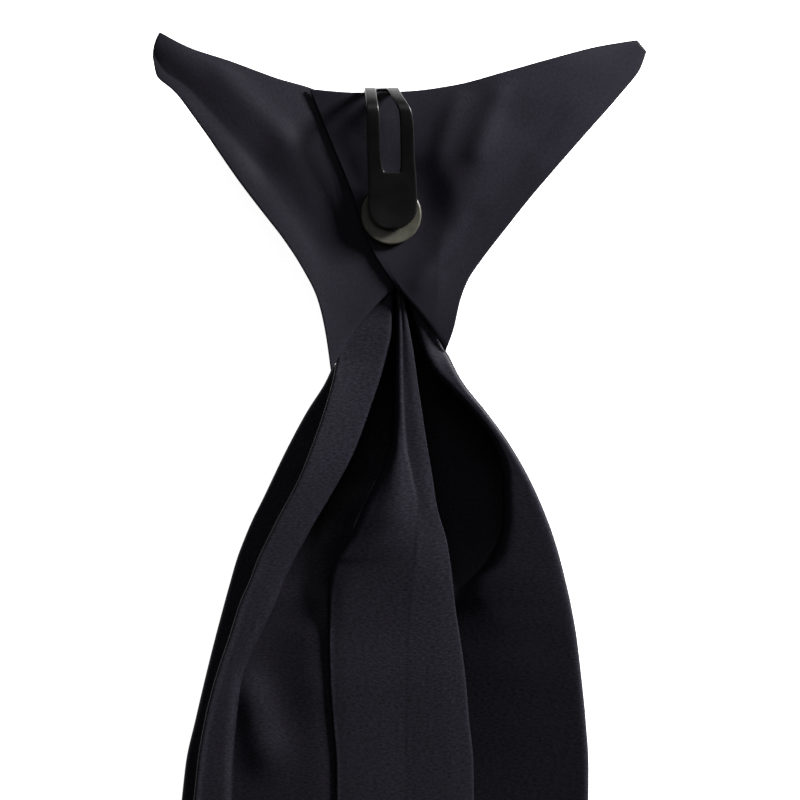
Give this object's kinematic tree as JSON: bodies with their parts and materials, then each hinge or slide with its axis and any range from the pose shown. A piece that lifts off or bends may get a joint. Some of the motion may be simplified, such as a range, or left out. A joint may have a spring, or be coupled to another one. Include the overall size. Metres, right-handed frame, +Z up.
{
  "type": "clip-on necktie",
  "caption": "Pre-tied necktie on its front: stiff wings, a knot with a slotted spring clip on its back, and a pleated blade with its edges folded back.",
  "frame": {"origin": "middle of the tie's outline, on the surface that its front lies on", "axes": "+Y along the tie from the blade's point to the wings, +Z up out of the tie's back, +X to the right seen from the back"},
  "size_m": [0.102, 0.4576, 0.0241],
  "materials": {
    "satin": "black polyester satin with a faint purple sheen",
    "clip_steel": "gloss black coated spring steel",
    "disc_plastic": "olive grey, half matt"
  },
  "bodies": {
    "root": {"knot_front": "satin", "left_wing": "satin", "right_wing": "satin", "blade": "satin", "back_pleat": "satin", "collar_clip": "clip_steel", "grip_disc": "disc_plastic"}
  },
  "joints": []
}
